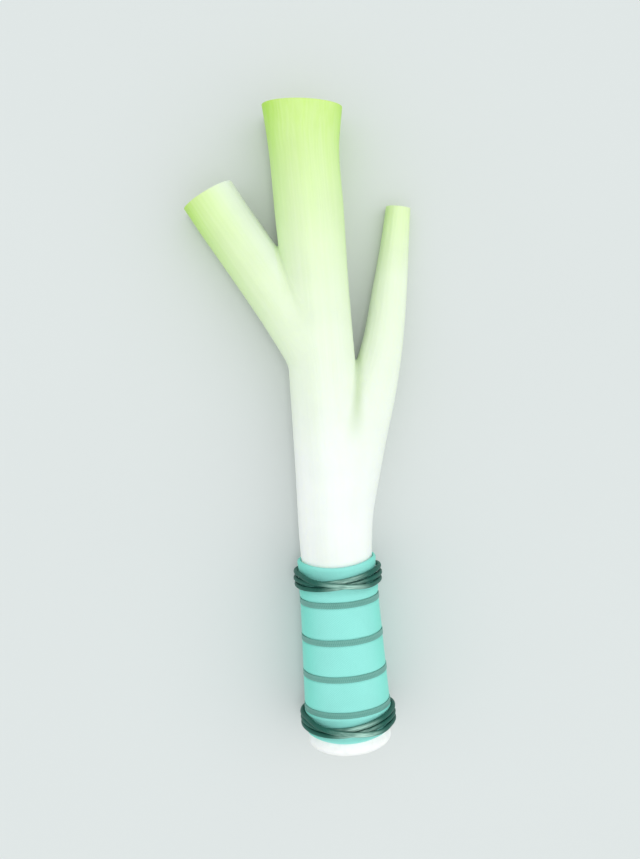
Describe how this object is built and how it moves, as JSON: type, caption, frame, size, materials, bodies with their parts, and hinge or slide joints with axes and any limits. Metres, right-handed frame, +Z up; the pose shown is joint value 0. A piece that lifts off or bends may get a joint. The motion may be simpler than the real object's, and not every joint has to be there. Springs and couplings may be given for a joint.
{
  "type": "leek",
  "caption": "Trimmed leek lying on its side, with a white shank, cut pale green leaves and a banded cloth wrap held round the shank by elastic ties.",
  "frame": {"origin": "middle of the part's bounding box seen from above, on the floor that it lies on", "axes": "+Y along the leek from its root end to its cut leaves, +Z up, +X towards the side of the thin right leaf"},
  "size_m": [0.1222, 0.3482, 0.0547],
  "materials": {
    "leek": "raw plant skin, satin and a little waxy, with fine lengthwise veins; white at the root end, through pale green to yellow green at the cut leaves",
    "wrap": "fine woven cloth with a soft sheen, stretched smooth",
    "band": "matt flat ribbon, finely ribbed",
    "tie": "braided elastic cord, satin to glossy"
  },
  "bodies": {
    "root": {"leek": "leek", "wrap": "wrap", "band_1": "band", "band_2": "band", "band_3": "band", "band_4": "band", "upper_tie": "tie", "lower_tie": "tie"}
  },
  "joints": []
}
